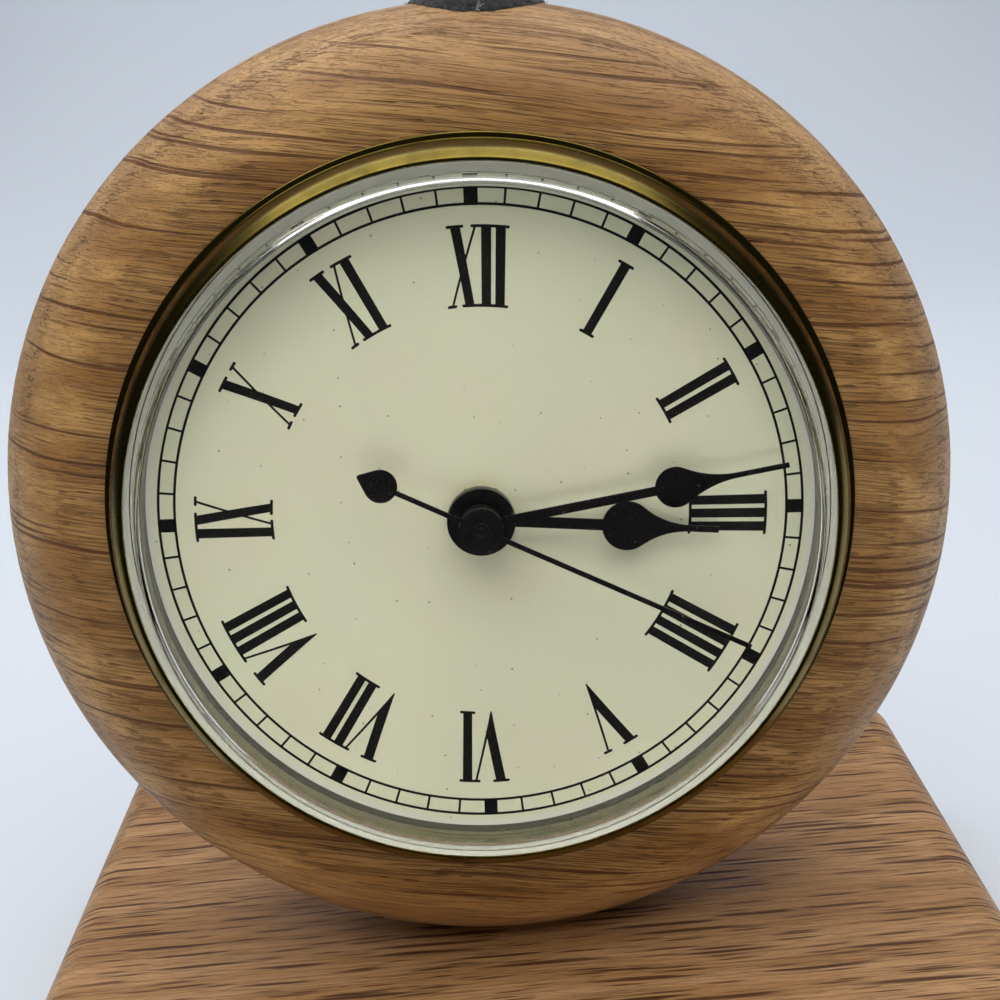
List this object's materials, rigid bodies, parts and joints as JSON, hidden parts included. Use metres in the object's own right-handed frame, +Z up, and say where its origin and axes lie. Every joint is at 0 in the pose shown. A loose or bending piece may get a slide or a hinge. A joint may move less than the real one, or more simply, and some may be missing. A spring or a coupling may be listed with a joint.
{
  "type": "desk clock",
  "caption": "Desk clock with a round oak case leaning back on an oak slab, a push-in quartz insert with brass bezel, domed lens, spade hands and a geared movement.",
  "frame": {"origin": "on the surface it stands on, under the middle of the slab", "axes": "+X to the right as the dial is read, +Y towards the back, +Z up"},
  "size_m": [0.124, 0.096, 0.1503],
  "materials": {
    "oak": "clear satin finish",
    "felt": "felt",
    "brass": "polished",
    "steel": "plain",
    "lens": "clear",
    "dial": "matt ivory",
    "grip": "matt",
    "shell": "matt black",
    "wheels": "moulded",
    "winding": "enamelled copper",
    "board": "coated",
    "can": "drawn",
    "hands": "satin black"
  },
  "bodies": {
    "case": {"oak_base": "oak", "oak_case": "oak", "case_screws": "steel", "felt_pads": "felt", "knob_washer": "felt", "top_knob": "brass", "knob_stud": "steel"},
    "insert": {"bezel": "brass", "lens": "lens", "dial_plate": "dial", "grip_band": "grip", "insert_cup": "shell", "movement_plate": "shell", "movement_cover": "shell", "dial_nut": "steel", "stator": "steel", "drive_coil": "winding", "circuit_board": "board", "quartz_crystal": "can", "button_cell": "steel", "cell_contacts": "brass"},
    "hatch": {"battery_hatch": "shell"},
    "seconds": {"second_wheel": "wheels", "second_hand": "hands"},
    "intermediate": {"intermediate_wheel": "wheels"},
    "rotor": {"motor_rotor": "wheels"},
    "third": {"third_wheel": "wheels"},
    "centre": {"centre_wheel": "wheels"},
    "minutes": {"cannon_pinion": "wheels", "minute_hand": "hands"},
    "setting": {"minute_wheel": "wheels", "setting_knob": "shell"},
    "hours": {"hour_wheel": "wheels", "hour_hand": "hands"}
  },
  "joints": [
    {"name": "insert_slide", "type": "slide", "parent": "case", "child": "insert", "axis": [0, -0.9949, 0.1011], "range_m": [0, 0.03]},
    {"name": "hatch_turn", "type": "hinge", "parent": "insert", "child": "hatch", "pos_m": [0.01245, -0.01193, 0.06432], "axis": [0, 0.9949, -0.1011], "range_deg": [0, 60]},
    {"name": "second_turn", "type": "hinge", "parent": "insert", "child": "seconds", "pos_m": [0, -0.01058, 0.0776], "axis": [0, 0.9949, -0.1011], "continuous": true},
    {"name": "intermediate_turn", "type": "hinge", "parent": "insert", "child": "intermediate", "pos_m": [0.00719, -0.01062, 0.07718], "axis": [0, 0.9949, -0.1011], "continuous": true},
    {"name": "rotor_turn", "type": "hinge", "parent": "insert", "child": "rotor", "pos_m": [0.01103, -0.01003, 0.083], "axis": [0, 0.9949, -0.1011], "continuous": true},
    {"name": "third_turn", "type": "hinge", "parent": "insert", "child": "third", "pos_m": [-0.00679, -0.01054, 0.07799], "axis": [0, 0.9949, -0.1011], "continuous": true},
    {"name": "centre_turn", "type": "hinge", "parent": "insert", "child": "centre", "pos_m": [0, -0.01058, 0.0776], "axis": [0, 0.9949, -0.1011], "continuous": true},
    {"name": "minute_turn", "type": "hinge", "parent": "insert", "child": "minutes", "pos_m": [0, -0.01058, 0.0776], "axis": [0, 0.9949, -0.1011], "continuous": true},
    {"name": "setting_turn", "type": "hinge", "parent": "insert", "child": "setting", "pos_m": [-0.00043, -0.01132, 0.07025], "axis": [0, 0.9949, -0.1011], "continuous": true},
    {"name": "hour_turn", "type": "hinge", "parent": "insert", "child": "hours", "pos_m": [0, -0.01058, 0.0776], "axis": [0, 0.9949, -0.1011], "continuous": true}
  ],
  "couplings": [
    {"joint": "intermediate_turn", "follows": "second_turn", "ratio": -5},
    {"joint": "rotor_turn", "follows": "second_turn", "ratio": 30},
    {"joint": "third_turn", "follows": "second_turn", "ratio": -0.13333},
    {"joint": "centre_turn", "follows": "second_turn", "ratio": 0.016667},
    {"joint": "setting_turn", "follows": "minute_turn", "ratio": -0.33333},
    {"joint": "hour_turn", "follows": "minute_turn", "ratio": 0.083333}
  ]
}
